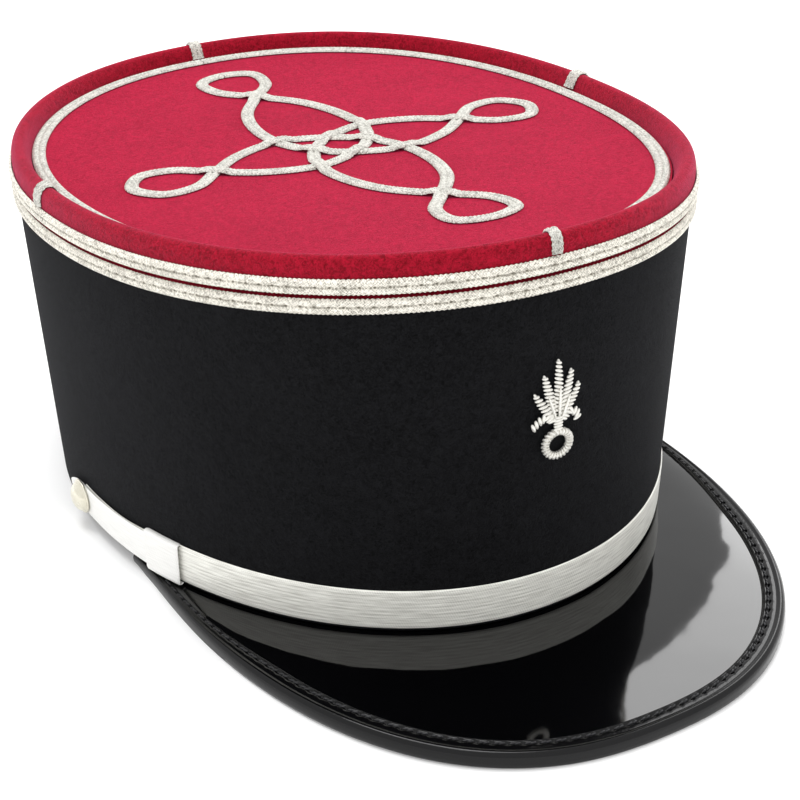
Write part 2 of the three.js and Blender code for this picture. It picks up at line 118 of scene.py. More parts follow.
def girth_at(height):
    return 2 * round_the_cap(height)[1][-1]


def turn_after(walk, height, from_turn=0):
    """Turn reached by a walk along the wall at a height, from a turn in degrees."""
    turns, walked = round_the_cap(height)
    start = np.interp(math.radians(from_turn), turns, walked)
    return np.interp(walk + start, walked, turns)


def settle(spot):
    """Tips a spot of the upright cap forward, as it stands on its band and its peak."""
    x, y, z = spot
    back = y * math.cos(REST_TIP) + z * math.sin(REST_TIP) + REST_BACK
    up = z * math.cos(REST_TIP) - y * math.sin(REST_TIP) + REST_LIFT
    return np.array([x + 0 * y, back, np.maximum(up, 0)])


def corners(piece):
    places = np.empty(len(piece.data.vertices) * 3, np.float32)
    piece.data.vertices.foreach_get("co", places)
    return places.reshape(-1, 3).T.astype(float)


def put_corners(piece, places):
    piece.data.vertices.foreach_set("co", np.asarray(places, np.float32).T.ravel())
    piece.data.update()


def pick(pieces):
    """Selects these pieces and no others, the first one active."""
    bpy.ops.object.select_all(action="DESELECT")
    for piece in pieces:
        piece.select_set(True)
    bpy.context.view_layer.objects.active = pieces[0]


def edit(piece):
    pick([piece])
    bpy.ops.object.mode_set(mode="EDIT")


def leave_edit():
    bpy.ops.object.mode_set(mode="OBJECT")


def flat_strip(name, length, width, cuts_along, cuts_across):
    """A flat strip about the origin, with its length and width in metres as its UV map."""
    bpy.ops.object.select_all(action="DESELECT")
    bpy.ops.mesh.primitive_grid_add(x_subdivisions=cuts_along, y_subdivisions=cuts_across,
                                    size=1, calc_uvs=True)
    piece = bpy.context.object
    piece.name = piece.data.name = name
    edit(piece)
    bpy.ops.transform.resize(value=(length, width, 1))
    leave_edit()
    mesh = piece.data
    ends = np.empty(len(mesh.loops), np.int32)
    mesh.loops.foreach_get("vertex_index", ends)
    flat = corners(piece)[:2, ends]
    mesh.uv_layers.active.data.foreach_set("uv", flat.T.astype(np.float32).ravel())
    return piece


def thicken(piece, thickness):
    """Gives a flat piece its thickness, below its face."""
    bpy.context.view_layer.objects.active = piece
    shell = piece.modifiers.new("thickness", "SOLIDIFY")
    shell.thickness, shell.offset, shell.use_even_offset = thickness, -1, False
    bpy.ops.object.modifier_apply(modifier=shell.name)


def lay(piece, place):
    """Lays a piece that was made flat (x along, y across, z out) on the cap."""
    put_corners(piece, settle(place(*corners(piece))))


def close_seam(piece):
    """Joins the two ends of a strip that runs all round."""
    edit(piece)
    bpy.ops.mesh.select_all(action="SELECT")
    bpy.ops.mesh.remove_doubles(threshold=SEAM_REACH)
    leave_edit()


def smooth(piece, angle=50):
    pick([piece])
    bpy.ops.object.shade_smooth_by_angle(angle=math.radians(angle))


def joined(parts, name):
    pick(parts)
    bpy.ops.object.join()
    piece = bpy.context.object
    piece.name = piece.data.name = name
    return piece


def node(material, kind, settings=None, **inputs):
    """A shader node whose inputs are given numbers, colours or other nodes' outputs."""
    made = material.node_tree.nodes.new("ShaderNode" + kind)
    for name, value in (settings or {}).items():
        setattr(made, name, value)
    for name, value in inputs.items():
        feed(material, made.inputs[name.replace("_", " ")], value)
    return made


def feed(material, socket, value):
    if isinstance(value, bpy.types.NodeSocket):
        material.node_tree.links.new(value, socket)
    else:
        socket.default_value = value


def reckon(material, operation, *terms):
    made = node(material, "Math", {"operation": operation})
    for socket, term in zip(made.inputs, terms):
        feed(material, socket, term)
    return made.outputs[0]


def sums(material):
    """Short names for adding, taking away and multiplying in a shader."""
    return [functools.partial(reckon, material, operation)
            for operation in ("ADD", "SUBTRACT", "MULTIPLY")]


def new_material(name):
    material = bpy.data.materials.new(name)
    material.use_nodes = True
    return material, material.node_tree.nodes["Principled BSDF"]


def spread(material, value, low, high, to_low=0, to_high=1):
    """Stretches a value's range from low to high out to another range."""
    made = node(material, "MapRange", Value=value)
    for name, limit in (("From Min", low), ("From Max", high), ("To Min", to_low),
                        ("To Max", to_high)):
        made.inputs[name].default_value = limit
    return made.outputs[0]


def blend_colours(material, share, first, second):
    mix = node(material, "Mix", {"data_type": "RGBA"})
    feed(material, mix.inputs["Factor"], share)
    feed(material, mix.inputs[6], (*first, 1))
    feed(material, mix.inputs[7], (*second, 1))
    return mix.outputs[2]


def wool(name, deep, bright, sheen, sheen_tint, nap):
    """Fulled wool: short felted fibres with a soft nap and slight clouding of the dye."""
    material, shader = new_material(name)
    add, _, times = sums(material)
    place = node(material, "TexCoord").outputs["Object"]
    clouds = node(material, "TexNoise", Vector=place, Scale=45, Detail=3).outputs["Fac"]
    fibres = node(material, "TexNoise", Vector=place, Scale=1150, Detail=5,
                  Roughness=0.75, Distortion=1.4).outputs["Fac"]
    pile = node(material, "TexNoise", Vector=place, Scale=430, Detail=4,
                Roughness=0.7).outputs["Fac"]
    tufts = add(times(fibres, 0.8), times(pile, 0.2))
    mottling = add(times(clouds, 0.08), times(tufts, 0.92))
    feed(material, shader.inputs["Base Color"],
         blend_colours(material, spread(material, mottling, 0.42, 0.58), deep, bright))
    shader.inputs["Roughness"].default_value = 0.92
    shader.inputs["Specular IOR Level"].default_value = 0.1
    shader.inputs["Sheen Weight"].default_value = sheen
    shader.inputs["Sheen Roughness"].default_value = 0.4
    shader.inputs["Sheen Tint"].default_value = (*sheen_tint, 1)
    bump = node(material, "Bump", Height=tufts, Strength=nap, Distance=0.4 * MM)
    feed(material, shader.inputs["Normal"], bump.outputs[0])
    return material


black_wool = wool("black_wool", (0.0004, 0.0004, 0.0006), (0.0072, 0.0074, 0.0084),
                  0.04, (0.6, 0.62, 0.7), 0.9)

BAND_HEIGHT = 89.7 * MM
BAND_CUTS = 36
JOIN_DEPTH = 0.35 * MM
JOIN_SPREAD = 0.9 * MM


def band_place(x, y, z):
    level = y / BAND_HEIGHT + 0.5
    turn = turn_after(x, BAND_HEIGHT / 2)
    seam = crown_spot(turn, -z, SEAM_DROP)[2]
    join = JOIN_DEPTH * np.exp(-((band_girth / 2 - np.abs(x)) / JOIN_SPREAD) ** 2)
    return wall_spot(turn, z - join, BAND_FOOT + (seam - BAND_FOOT) * level)


band_girth = girth_at(BAND_HEIGHT / 2)
band = flat_strip("band_cloth", band_girth, BAND_HEIGHT, CUTS_ROUND, BAND_CUTS)
thicken(band, BAND_WALL)
lay(band, band_place)
close_seam(band)
smooth(band)
band.data.materials.append(black_wool)
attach(band, "root")
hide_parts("band")

# ---- Red rim -------------------------------------------------------------------------------
# The raised turban round the crown: red wool drawn up from the seam, rolled over a cord at the
# crest and sloped down inside to the sunken top, to which it is sewn.

RIM_WALL = 2 * MM
RIM_PROFILE = [  # inset from the wall's face, drop below the crest line
    (0, 11.9), (0, 9), (-0.05, 6), (0, 3.6), (0.2, 2.2), (0.75, 1.0), (1.6, 0.25),
    (2.6, 0), (3.5, 0.35), (4.2, 1.2), (4.75, 2.5), (5.2, 3.9), (5.5, 5.1),
]


def along_profile(profile, cuts):
    """Evenly spaced spots on a smooth line through a profile's points, with the length."""
    points = np.array(profile, float) * MM
    knots = walk_along(points.T)
    slopes = np.gradient(points, knots, axis=0)
    spots = np.linspace(0, knots[-1], cuts + 1)
    cell = np.clip(np.searchsorted(knots, spots, "right") - 1, 0, len(knots) - 2)
    size = knots[cell + 1] - knots[cell]
    t = (spots - knots[cell]) / size
    t, size = t[:, None], size[:, None]
    line = ((2 * t ** 3 - 3 * t ** 2 + 1) * points[cell] + (t ** 3 - 2 * t ** 2 + t) * size
            * slopes[cell] + (3 * t ** 2 - 2 * t ** 3) * points[cell + 1]
            + (t ** 3 - t ** 2) * size * slopes[cell + 1])
    return line, knots[-1]


# The rim's wool is a darker, less pink copy of the top's red wool: painted shade, for its steep
# faces that take less of the overhead light.
rim_wool_painted_shade = wool("rim_wool_painted_shade", (0.16, 0.0015, 0.006), (0.40, 0.006, 0.024),
                0.5, (1.0, 0.2, 0.38), 0.9)

RIM_CUTS = 54
GROOVE_DROP = 9.75 * MM  # line where the sewing of the two galons draws the wool in
GROOVE_DEPTH = 1.5 * MM
GROOVE_SPREAD = 0.62 * MM
rim_line, rim_width = along_profile(RIM_PROFILE, RIM_CUTS)
rim_ways = np.linspace(0, rim_width, RIM_CUTS + 1)


def profile_spot(line, ways, way, out):
    """Inset and drop at a way along a profile, moved out square to it."""
    lean = np.gradient(line, ways, axis=0)
    lean /= np.hypot(*lean.T)[:, None]
    inset, drop, across, down = [np.interp(way, ways, row) for row in (*line.T, *lean.T)]
    return inset + down * out, drop - across * out


def rim_place(x, y, z):
    turn = turn_after(x, CREST_HEIGHT - SEAM_DROP)
    inset, drop = profile_spot(rim_line, rim_ways, y + rim_width / 2, z)
    outer = np.clip(1 + z / RIM_WALL, 0, 1)
    drawn = GROOVE_DEPTH * outer * np.exp(-((drop - GROOVE_DROP) / GROOVE_SPREAD) ** 2)
    return crown_spot(turn, inset + np.where(inset < RIM_WALL, drawn, 0), drop)


rim = flat_strip("rim_cloth", girth_at(CREST_HEIGHT - SEAM_DROP), rim_width, CUTS_ROUND,
                 RIM_CUTS)
thicken(rim, RIM_WALL)
lay(rim, rim_place)
close_seam(rim)
smooth(rim)
rim.data.materials.append(rim_wool_painted_shade)
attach(rim, "root")
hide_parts("turban_rim")

# ---- Top -----------------------------------------------------------------------------------
# The top of the crown: one oval of the same red wool over stiff card, slightly saddled, sunk
# inside the rim and sewn to it all round.

DISC_DROP = 4.8 * MM
DISC_WALL = 2 * MM
RIM_WIDTH = 5.5 * MM
DISC_RINGS, DISC_SPOKES = 14, 200

# The top's wool is a lighter, pinker copy of the rim's red wool: painted light, for the flat top
# that faces the overhead light.
top_wool_painted_light = wool("top_wool_painted_light", (0.23, 0.0015, 0.014), (0.43, 0.008, 0.036),
                0.24, (1.0, 0.18, 0.42), 0.8)


def disc_place(x, y, z):
    """Spot on the top for a spot of the unit disc, whose edge is the rim's inner foot."""
    share, turn = np.hypot(x, y), np.arctan2(x, -y)
    edge = crown_spot(turn, RIM_WIDTH + GAP, DISC_DROP)
    back = TOP_OVAL["middle"] + (edge[1] - TOP_OVAL["middle"]) * share
    return np.array([edge[0] * share, back, crest_height(back) - DISC_DROP + z])


bpy.ops.object.select_all(action="DESELECT")
bpy.ops.mesh.primitive_circle_add(vertices=DISC_SPOKES, radius=1, fill_type="NGON")
top = bpy.context.object
top.name = top.data.name = "top_cloth"
edit(top)
bpy.ops.mesh.select_all(action="SELECT")
for ring in range(DISC_RINGS):
    bpy.ops.mesh.inset(thickness=1 / (DISC_RINGS + 1))
bpy.ops.mesh.poke()
leave_edit()
thicken(top, DISC_WALL)
lay(top, disc_place)
smooth(top)
top.data.materials.append(top_wool_painted_light)
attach(top, "root")
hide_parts("top_disc")

# ---- Galons --------------------------------------------------------------------------------
# Two flat silver braids round the wall where black meets red. Each is plaited in two ribs and
# machine sewn down its middle, so that the thread sinks a row of small holes in the groove.

GALON_WIDTH = 4.05 * MM
GALON_HEIGHT = 1.15 * MM
GALON_UPPER_DROP = 7.25 * MM
GALON_LOWER_DROP = 12.25 * MM
BRAID_RISES = [0.30, 0.76, 0.94, 1.0, 0.98, 0.90, 0.70, 0.90, 0.98, 1.0, 0.94, 0.76, 0.30]
BRAID_SHELL = 0.22 * MM
PLAIT_PITCH = 1.15 * MM
STITCH_PITCH = 3 * PLAIT_PITCH
STITCH_REACH = 0.42 * MM
STITCH_DEPTH = 0.5 * MM
HOLE_RADIUS = 0.3 * MM
MIDDLE_GROOVE = 0.07  # of the braid's width, either side of its middle
SCALLOP = 0.13 * MM
STRAND_RELIEF = 0.09 * MM
STRAND_LEAN, PLY_LEAN = 0.9, 1.3
BRAID_CUT = 0.33 * MM


def lift_rows(piece, rises):
    """Lifts the rows of a flat strip, from one long edge to the other."""
    width = np.ptp(corners(piece)[1])
    step = width / (len(rises) - 1)
    edit(piece)
    bpy.ops.mesh.select_mode(type="VERT")
    for row, rise in enumerate(rises):
        bpy.ops.mesh.select_all(action="DESELECT")
        shape = bmesh.from_edit_mesh(piece.data)
        for corner in shape.verts:
            corner.select = abs(corner.co.y + width / 2 - row * step) < step / 4
        shape.select_flush(True)
        bmesh.update_edit_mesh(piece.data)
        bpy.ops.transform.translate(value=(0, 0, rise))
    leave_edit()


def braid_strip(name, length, width, height, stitched=False):
    """A flat braid: two plaited ribs with a groove between them and scalloped edges."""
    piece = flat_strip(name, length, width, round(length / BRAID_CUT), len(BRAID_RISES) - 1)
    lift_rows(piece, [rise * height for rise in BRAID_RISES])
    fit = max(1, round(length / STITCH_PITCH)) * STITCH_PITCH / length
    wound = np.empty(len(piece.data.loops) * 2, np.float32)
    piece.data.uv_layers.active.data.foreach_get("uv", wound)
    wound[::2] *= fit
    piece.data.uv_layers.active.data.foreach_set("uv", wound)
    x, y, z = corners(piece)
    from_middle = np.abs(y) / (width / 2)
    y = y + np.sign(y) * SCALLOP * from_middle ** 4 * np.sin(FULL_TURN * x * fit / PLAIT_PITCH)
    slant = FULL_TURN * (x * fit + np.abs(y) * STRAND_LEAN) / PLAIT_PITCH
    z = z + STRAND_RELIEF * np.sin(slant) * np.sin(math.pi * np.clip(from_middle, 0, 1))
    if stitched:
        from_stitch = np.abs((x * fit / STITCH_PITCH) % 1 - 0.5) * STITCH_PITCH
        z = z - STITCH_DEPTH * np.exp(-((from_stitch ** 2 + y ** 2) / STITCH_REACH ** 2))
    put_corners(piece, [x, y, z])
    thicken(piece, BRAID_SHELL)
    return piece


def braid_metal(name, bright, dark, width, groove_shade, stitched=False):
    """Silvered braid: fine slanting strands in each rib, with painted shade where they dip."""
    material, shader = new_material(name)
    add, take, times = sums(material)
    split = node(material, "SeparateXYZ", Vector=node(material, "UVMap").outputs[0])
    along, across = split.outputs[0], split.outputs[1]
    side = reckon(material, "ABSOLUTE", across)
    strand = reckon(material, "SINE", times(add(along, times(side, STRAND_LEAN)),
                                            FULL_TURN / (PLAIT_PITCH / 2)))
    ply = reckon(material, "SINE", times(take(along, times(side, PLY_LEAN)),
                                         FULL_TURN / (PLAIT_PITCH * 3 / 4)))
    weave = times(add(strand, ply), 0.05)
    place = node(material, "TexCoord").outputs["Object"]
    specks = node(material, "TexNoise", Vector=place, Scale=1700, Detail=3,
                  Roughness=0.65).outputs["Fac"]
    patches = node(material, "TexNoise", Vector=place, Scale=260, Detail=2).outputs["Fac"]
    wear = times(take(patches, 0.5), 0.25)
    relief = add(weave, specks)
    # Painted shade in the middle groove of the braid.
    groove_painted_shade = times(reckon(material, "LESS_THAN", side, MIDDLE_GROOVE * width), groove_shade)
    shade = take(add(relief, wear), groove_painted_shade)
    if stitched:
        count = reckon(material, "DIVIDE", along, STITCH_PITCH)
        away = times(take(reckon(material, "FRACT", count), 0.5), STITCH_PITCH)
        reach = reckon(material, "SQRT", add(reckon(material, "POWER", across, 2),
                                             reckon(material, "POWER", away, 2)))
        # Painted shade in the stitch holes.
        shade = take(shade, reckon(material, "LESS_THAN", reach, HOLE_RADIUS))
    # Base colour: random specks and patches of wear, with painted shade in the strand dips, the
    # groove and the holes.
    feed(material, shader.inputs["Base Color"],
         blend_colours(material, spread(material, shade, 0.3, 0.6), dark, bright))
    shader.inputs["Metallic"].default_value = 0.15
    shader.inputs["Roughness"].default_value = 0.5
    bump = node(material, "Bump", Height=relief, Strength=0.8, Distance=0.3 * MM)
    feed(material, shader.inputs["Normal"], bump.outputs[0])
    return material


galon_braid = braid_metal("galon_braid", (0.935, 0.895, 0.80), (0.28, 0.26, 0.215),
                          GALON_WIDTH, 0.11, stitched=True)


def galon_place(drop):
    def place(x, y, z):
        turn = turn_after(x, CREST_HEIGHT - drop)
        height = crest_height(oval_point(TOP_OVAL, turn)[1]) - drop + y
        return wall_spot(turn, z + LAID_OFF, height)
    return place


for name, drop in (("galon_upper", GALON_UPPER_DROP), ("galon_lower", GALON_LOWER_DROP)):
    galon = braid_strip(name + "_braid", girth_at(CREST_HEIGHT - drop), GALON_WIDTH,
                        GALON_HEIGHT, stitched=True)
    lay(galon, galon_place(drop))
    close_seam(galon)
    smooth(galon)
    galon.data.materials.append(galon_braid)
    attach(galon, "root")
    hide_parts(name)

# ---- Crown ring ----------------------------------------------------------------------------
# A narrow silver soutache laid flat on the top, just inside the rim, and sewn in its groove.

SOUTACHE_WIDTH = 3.7 * MM
SOUTACHE_HEIGHT = 1.0 * MM
RING_INSET = 6.1 * MM
RING_SHIFT = 0.45 * MM
RING_SHARE = 0.925  # of the girth at the crest

soutache = braid_metal("soutache", (0.66, 0.65, 0.595), (0.21, 0.20, 0.175),
                       SOUTACHE_WIDTH, 0.03)


def ring_place(x, y, z):
    turn = turn_after(x / RING_SHARE, CREST_HEIGHT)
    inset = RING_INSET + RING_SHIFT * np.sin(turn) + SOUTACHE_WIDTH / 2 + y
    return crown_spot(turn, inset, DISC_DROP - LAID_OFF - z)


crown_ring = braid_strip("crown_ring_braid", girth_at(CREST_HEIGHT) * RING_SHARE,
                         SOUTACHE_WIDTH, SOUTACHE_HEIGHT)
lay(crown_ring, ring_place)
close_seam(crown_ring)
smooth(crown_ring)
crown_ring.data.materials.append(soutache)
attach(crown_ring, "root")
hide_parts("top_soutache")

# ---- Hungarian knot ------------------------------------------------------------------------
# One long soutache laid in four loops on the top. It passes over and under itself in turn, and
# lifts where it passes over.

KNOT_QUARTER = [  # from the tip of the back loop to the tip of the left loop
    (0, 79), (8.6, 75.5), (8.2, 65), (0, 54.5), (-9.5, 41), (-13.8, 24), (-12.6, 9),
    (-6.5, -2.5), (2.5, -9.5), (14, -13), (28, -8.5), (38.5, 0), (47.6, 8.2), (57, 8.8),
    (62.2, 0),
]
KNOT_MIDDLE = (0, -0.6)
KNOT_LIFT = 0.65 * MM
KNOT_RAMP = 5.4 * MM
KNOT_STEPS = 24  # between two points
KNOT_LOOK = 0.6 * MM  # either way along the braid, for its direction


def knot_line():
    """The knot's closed path as close points, all four quarters in one run."""
    quarter = np.array(KNOT_QUARTER, float)
    legs = [quarter, (quarter * (1, -1))[::-1], quarter * (-1, -1), (quarter * (-1, 1))[::-1]]
    points = np.concatenate([leg[:-1] for leg in legs]) * MM
    count, line = len(points), []
    for i in range(count):
        p = [points[(i + k) % count] for k in (-1, 0, 1, 2)]
        knots = [0.0]
        for a, b in zip(p, p[1:]):
            knots.append(knots[-1] + math.sqrt(math.dist(a, b)))
        first = ((p[1] - p[0]) / knots[1] - (p[2] - p[0]) / knots[2]
                 + (p[2] - p[1]) / (knots[2] - knots[1])) * (knots[2] - knots[1])
        last = ((p[2] - p[1]) / (knots[2] - knots[1]) - (p[3] - p[1]) / (knots[3] - knots[1])
                + (p[3] - p[2]) / (knots[3] - knots[2])) * (knots[2] - knots[1])
        for t in np.arange(0, 1, 1 / KNOT_STEPS):
            line.append((2 * t ** 3 - 3 * t ** 2 + 1) * p[1] + (t ** 3 - 2 * t ** 2 + t) * first
                        + (3 * t ** 2 - 2 * t ** 3) * p[2] + (t ** 3 - t ** 2) * last)
    return np.array(line + line[:1]) + np.array(KNOT_MIDDLE) * MM


def crossings(line, ways):
    """Ways along the path at which it crosses itself, in order."""
    here, step = line[:-1], np.diff(line, axis=0)
    found = []
    for i in range(len(here)):
        turn = step[i, 0] * step[:, 1] - step[i, 1] * step[:, 0]
        away = here - here[i]
        with np.errstate(divide="ignore", invalid="ignore"):
            mine = (away[:, 0] * step[:, 1] - away[:, 1] * step[:, 0]) / turn
            other = (away[:, 0] * step[i, 1] - away[:, 1] * step[i, 0]) / turn
        hit = (mine >= 0) & (mine < 1) & (other >= 0) & (other < 1)
        hit[max(0, i - 2):i + 3] = False
        hit[[(i + k) % len(here) for k in (-2, -1, 0, 1, 2)]] = False
        for j in np.flatnonzero(hit):
            found.append(ways[i] + mine[j] * (ways[i + 1] - ways[i]))
    return np.sort(found)


knot_path = knot_line()
knot_ways = walk_along(knot_path.T)
knot_length = knot_ways[-1]
knot_crossings = crossings(knot_path, knot_ways)


def knot_place(x, y, z):
    way = x + knot_length / 2
    middle = np.array([np.interp(way, knot_ways, knot_path[:, k]) for k in (0, 1)])
    ahead, behind = [np.array([np.interp((way + side * KNOT_LOOK) % knot_length, knot_ways,
                                         knot_path[:, k]) for k in (0, 1)]) for side in (1, -1)]
    run = (ahead - behind) / np.hypot(*(ahead - behind))
    lift = np.zeros_like(way)
    for order, crossing in enumerate(knot_crossings):
        if order % 2 == 1:
            away = np.abs((way - crossing + knot_length / 2) % knot_length - knot_length / 2)
            share = np.clip((KNOT_RAMP - away) / (KNOT_RAMP - SOUTACHE_WIDTH / 2), 0, 1)
            lift = np.maximum(lift, KNOT_LIFT * share * share * (3 - 2 * share))
    across, back = middle[0] - run[1] * y, middle[1] + run[0] * y
    return np.array([across, back, crest_height(back) - DISC_DROP + LAID_OFF + z + lift])


knot = braid_strip("hungarian_knot_braid", knot_length, SOUTACHE_WIDTH, SOUTACHE_HEIGHT)
lay(knot, knot_place)
close_seam(knot)
smooth(knot)
knot.data.materials.append(soutache)
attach(knot, "root")
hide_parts("hungarian_knot")

# ---- Rim tabs ------------------------------------------------------------------------------
# Four short soutaches, at the front, back and sides, that climb from the upper galon over the
# rolled rim and end against the crown ring.

TAB_TURNS = {"front": -2.6, "back": 180, "left": 94.5, "right": -94.5}
TAB_PROFILE = [  # inset from the wall's face, drop below the crest line
    (0, 4.8), (0, 3.6), (0.2, 2.2), (0.75, 1.0), (1.6, 0.25), (2.6, 0), (3.5, 0.35),
    (4.2, 1.2), (4.75, 2.4), (5.15, 3.3), (5.6, 4.1),
]
TAB_WIDTH, TAB_HEIGHT = 3.5 * MM, 0.9 * MM
TAB_CUTS = 40
tab_line, tab_length = along_profile(TAB_PROFILE, TAB_CUTS)
tab_ways = np.linspace(0, tab_length, TAB_CUTS + 1)


def tab_place(turn_middle):
    edge = oval_point(TOP_OVAL, np.array([math.radians(turn_middle)]))[:, 0]
    radius = math.hypot(edge[0], edge[1] - TOP_OVAL["middle"])

    def place(x, y, z):
        inset, drop = profile_spot(tab_line, tab_ways, x + tab_length / 2, z + LAID_OFF)
        return crown_spot(math.radians(turn_middle) - y / radius, inset, drop)
    return place


for side, turn_middle in TAB_TURNS.items():
    tab = braid_strip(f"rim_tab_{side}_braid", tab_length, TAB_WIDTH, TAB_HEIGHT)
    lay(tab, tab_place(turn_middle))
    smooth(tab)
    tab.data.materials.append(soutache)
    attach(tab, "root")
    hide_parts(f"rim_tab_{side}")

# ---- Chin strap ----------------------------------------------------------------------------
# A flat band of silver lace over the foot of the wall, woven in fine lengthwise ribs. It runs
# round the front from button to button and lies against the cloth.

STRAP_FOOT, STRAP_TOP = 0.3 * MM, 12.2 * MM
STRAP_REACH = 92
STRAP_RIBS = 10
STRAP_HEIGHT = 0.55 * MM
STRAP_SHELL = 0.2 * MM
STRAP_EDGE_RISES = [0.22 * MM, 0.48 * MM]
STRAP_CUTS_ALONG, STRAP_CUTS_ACROSS = 420, 4 * STRAP_RIBS
RIB_RELIEF = 0.06 * MM
TWILL_PITCH, TWILL_LEAN = 0.62 * MM, 0.45
BEHIND_END = 70
BEHIND_NARROWING = 0.32
BEHIND_RUN = 18 * MM


def strap_metal(name, bright, dark, ribbed):
    """Lacquered lace: a fine twill with long streaks in it, and ribs or none."""
    material, shader = new_material(name)
    add, _, times = sums(material)
    split = node(material, "SeparateXYZ", Vector=node(material, "UVMap").outputs[0])
    along, across = split.outputs[0], split.outputs[1]
    twill = reckon(material, "SINE", times(add(along, times(across, TWILL_LEAN)),
                                           FULL_TURN / TWILL_PITCH))
    rib = reckon(material, "COSINE", times(
        across, FULL_TURN * STRAP_RIBS / (STRAP_TOP - STRAP_FOOT)))
    stretched = node(material, "Mapping", Vector=node(material, "UVMap").outputs[0],
                     Scale=(140, 2200, 1))
    streaks = node(material, "TexNoise", Vector=stretched.outputs[0], Scale=1,
                   Detail=4).outputs["Fac"]
    relief = add(times(twill, 0.07), times(rib, 0.05 if ribbed else 0.0))
    shade = add(relief, streaks)
    feed(material, shader.inputs["Base Color"],
         blend_colours(material, spread(material, shade, 0.3, 0.62), dark, bright))
    shader.inputs["Metallic"].default_value = 0.2 if ribbed else 0.0
    shader.inputs["Roughness"].default_value = 0.42
    bump = node(material, "Bump", Height=shade, Strength=0.4, Distance=0.12 * MM)
    feed(material, shader.inputs["Normal"], bump.outputs[0])
    return material


def on_strap(out, foot, top, middle_turn=0):
    """Lays a strip on the wall between two heights, its middle at a turn in degrees."""
    def place(x, y, z):
        middle = (foot + top) / 2
        return wall_spot(turn_after(x, middle, middle_turn), out + z, middle + y)
    return place


def strap_walk(from_turn, to_turn):
    turns, walked = round_the_cap((STRAP_FOOT + STRAP_TOP) / 2)
    return np.interp(math.radians(to_turn), turns, walked) - np.interp(
        math.radians(from_turn), turns, walked)


silver_lace = strap_metal("silver_lace", (0.93, 0.925, 0.86), (0.64, 0.63, 0.58), True)
ribs = STRAP_RIBS * (np.arange(STRAP_CUTS_ACROSS + 1) / STRAP_CUTS_ACROSS - 0.5)
rib_rises = STRAP_HEIGHT - RIB_RELIEF * (1 - np.cos(FULL_TURN * ribs)) / 2
rib_rises[:2], rib_rises[-2:] = STRAP_EDGE_RISES, STRAP_EDGE_RISES[::-1]
strap = flat_strip("chin_strap_lace", strap_walk(-STRAP_REACH, STRAP_REACH),
                   STRAP_TOP - STRAP_FOOT, STRAP_CUTS_ALONG, STRAP_CUTS_ACROSS)
lift_rows(strap, rib_rises)
x, y, z = corners(strap)
hidden = np.clip((np.abs(x) - strap_walk(0, BEHIND_END)) / BEHIND_RUN, 0, 1)
put_corners(strap, [x, y * (1 - BEHIND_NARROWING * hidden ** 0.6), z])
thicken(strap, STRAP_SHELL)
lay(strap, on_strap(LAID_OFF, STRAP_FOOT, STRAP_TOP))
smooth(strap)
strap.data.materials.append(silver_lace)
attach(strap, "root")
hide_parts("chin_strap")

# ---- Strap ends ----------------------------------------------------------------------------
# The doubled ends of the strap, of plain white lacquered lace. Each comes back out of its
# slide, is held by the button and ends just behind it in a rounded point.

END_FROM, END_TO = 69.8, 98.4
END_FOOT, END_TOP = 0.2 * MM, 11.6 * MM
END_TAPER = 0.18
END_OUT = 0.95 * MM
END_RISES = [0.2 * MM, 0.4 * MM, *[0.45 * MM] * 11, 0.4 * MM, 0.2 * MM]
END_CUTS = 90
BUTTON_TURN = 92.5
END_POINT = 0.8

white_lace = strap_metal("white_lace", (0.86, 0.855, 0.83), (0.76, 0.755, 0.73), False)


def end_piece(name, side):
    length = strap_walk(END_FROM, END_TO)
    piece = flat_strip(name, length, END_TOP - END_FOOT, END_CUTS, len(END_RISES) - 1)
    lift_rows(piece, END_RISES)
    x, y, z = corners(piece)
    beyond = np.clip((x - (length / 2 - strap_walk(BUTTON_TURN, END_TO)))
                     / strap_walk(BUTTON_TURN, END_TO), 0, 1)
    share = x / length + 0.5
    taper = 1 - END_TAPER * np.clip(share / 0.7, 0, 1) ** 0.7
    put_corners(piece, [x, y * taper * (1 - END_POINT * beyond ** 1.8), z])
    thicken(piece, STRAP_SHELL)
    middle = (END_FROM + END_TO) / 2
    lay(piece, on_strap(END_OUT, END_FOOT, END_TOP, middle))
    if side < 0:
        mirror_over(piece)
    return piece


def mirror_over(piece):
    """Turns a piece of the cap's left into its twin on the right."""
    edit(piece)
    bpy.ops.mesh.select_all(action="SELECT")
    bpy.ops.transform.resize(value=(-1, 1, 1), center_override=(0, 0, 0))
    bpy.ops.mesh.flip_normals()
    leave_edit()


for name, side in (("left", 1), ("right", -1)):
    end = end_piece(f"strap_end_{name}_lace", side)
    smooth(end)
    end.data.materials.append(white_lace)
    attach(end, "root")
    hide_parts(f"strap_end_{name}")

# ---- Slides --------------------------------------------------------------------------------
# A flat sleeve of the same white lace wrapped round the doubled strap on each side, its folds
# above and below the strap.

SLIDE_FROM, SLIDE_TO = 66, 73.5
SLIDE_SECTION = [  # out from the wall's face, height
    (0.15, -0.35), (0.5, -0.6), (1.2, -0.65), (1.65, -0.5), (1.88, 0), (1.93, 1.2),
    (1.95, 4.2), (1.95, 6.2), (1.95, 8.2), (1.93, 11.0), (1.88, 12.0), (1.65, 12.5),
    (1.2, 12.65), (0.5, 12.62), (0.15, 12.4),
]
SLIDE_WALL = 0.35 * MM
SLIDE_EASE, SLIDE_EASE_REACH = 0.22 * MM, 0.45 * MM
SLIDE_CUTS_ALONG, SLIDE_CUTS_ROUND = 24, 40


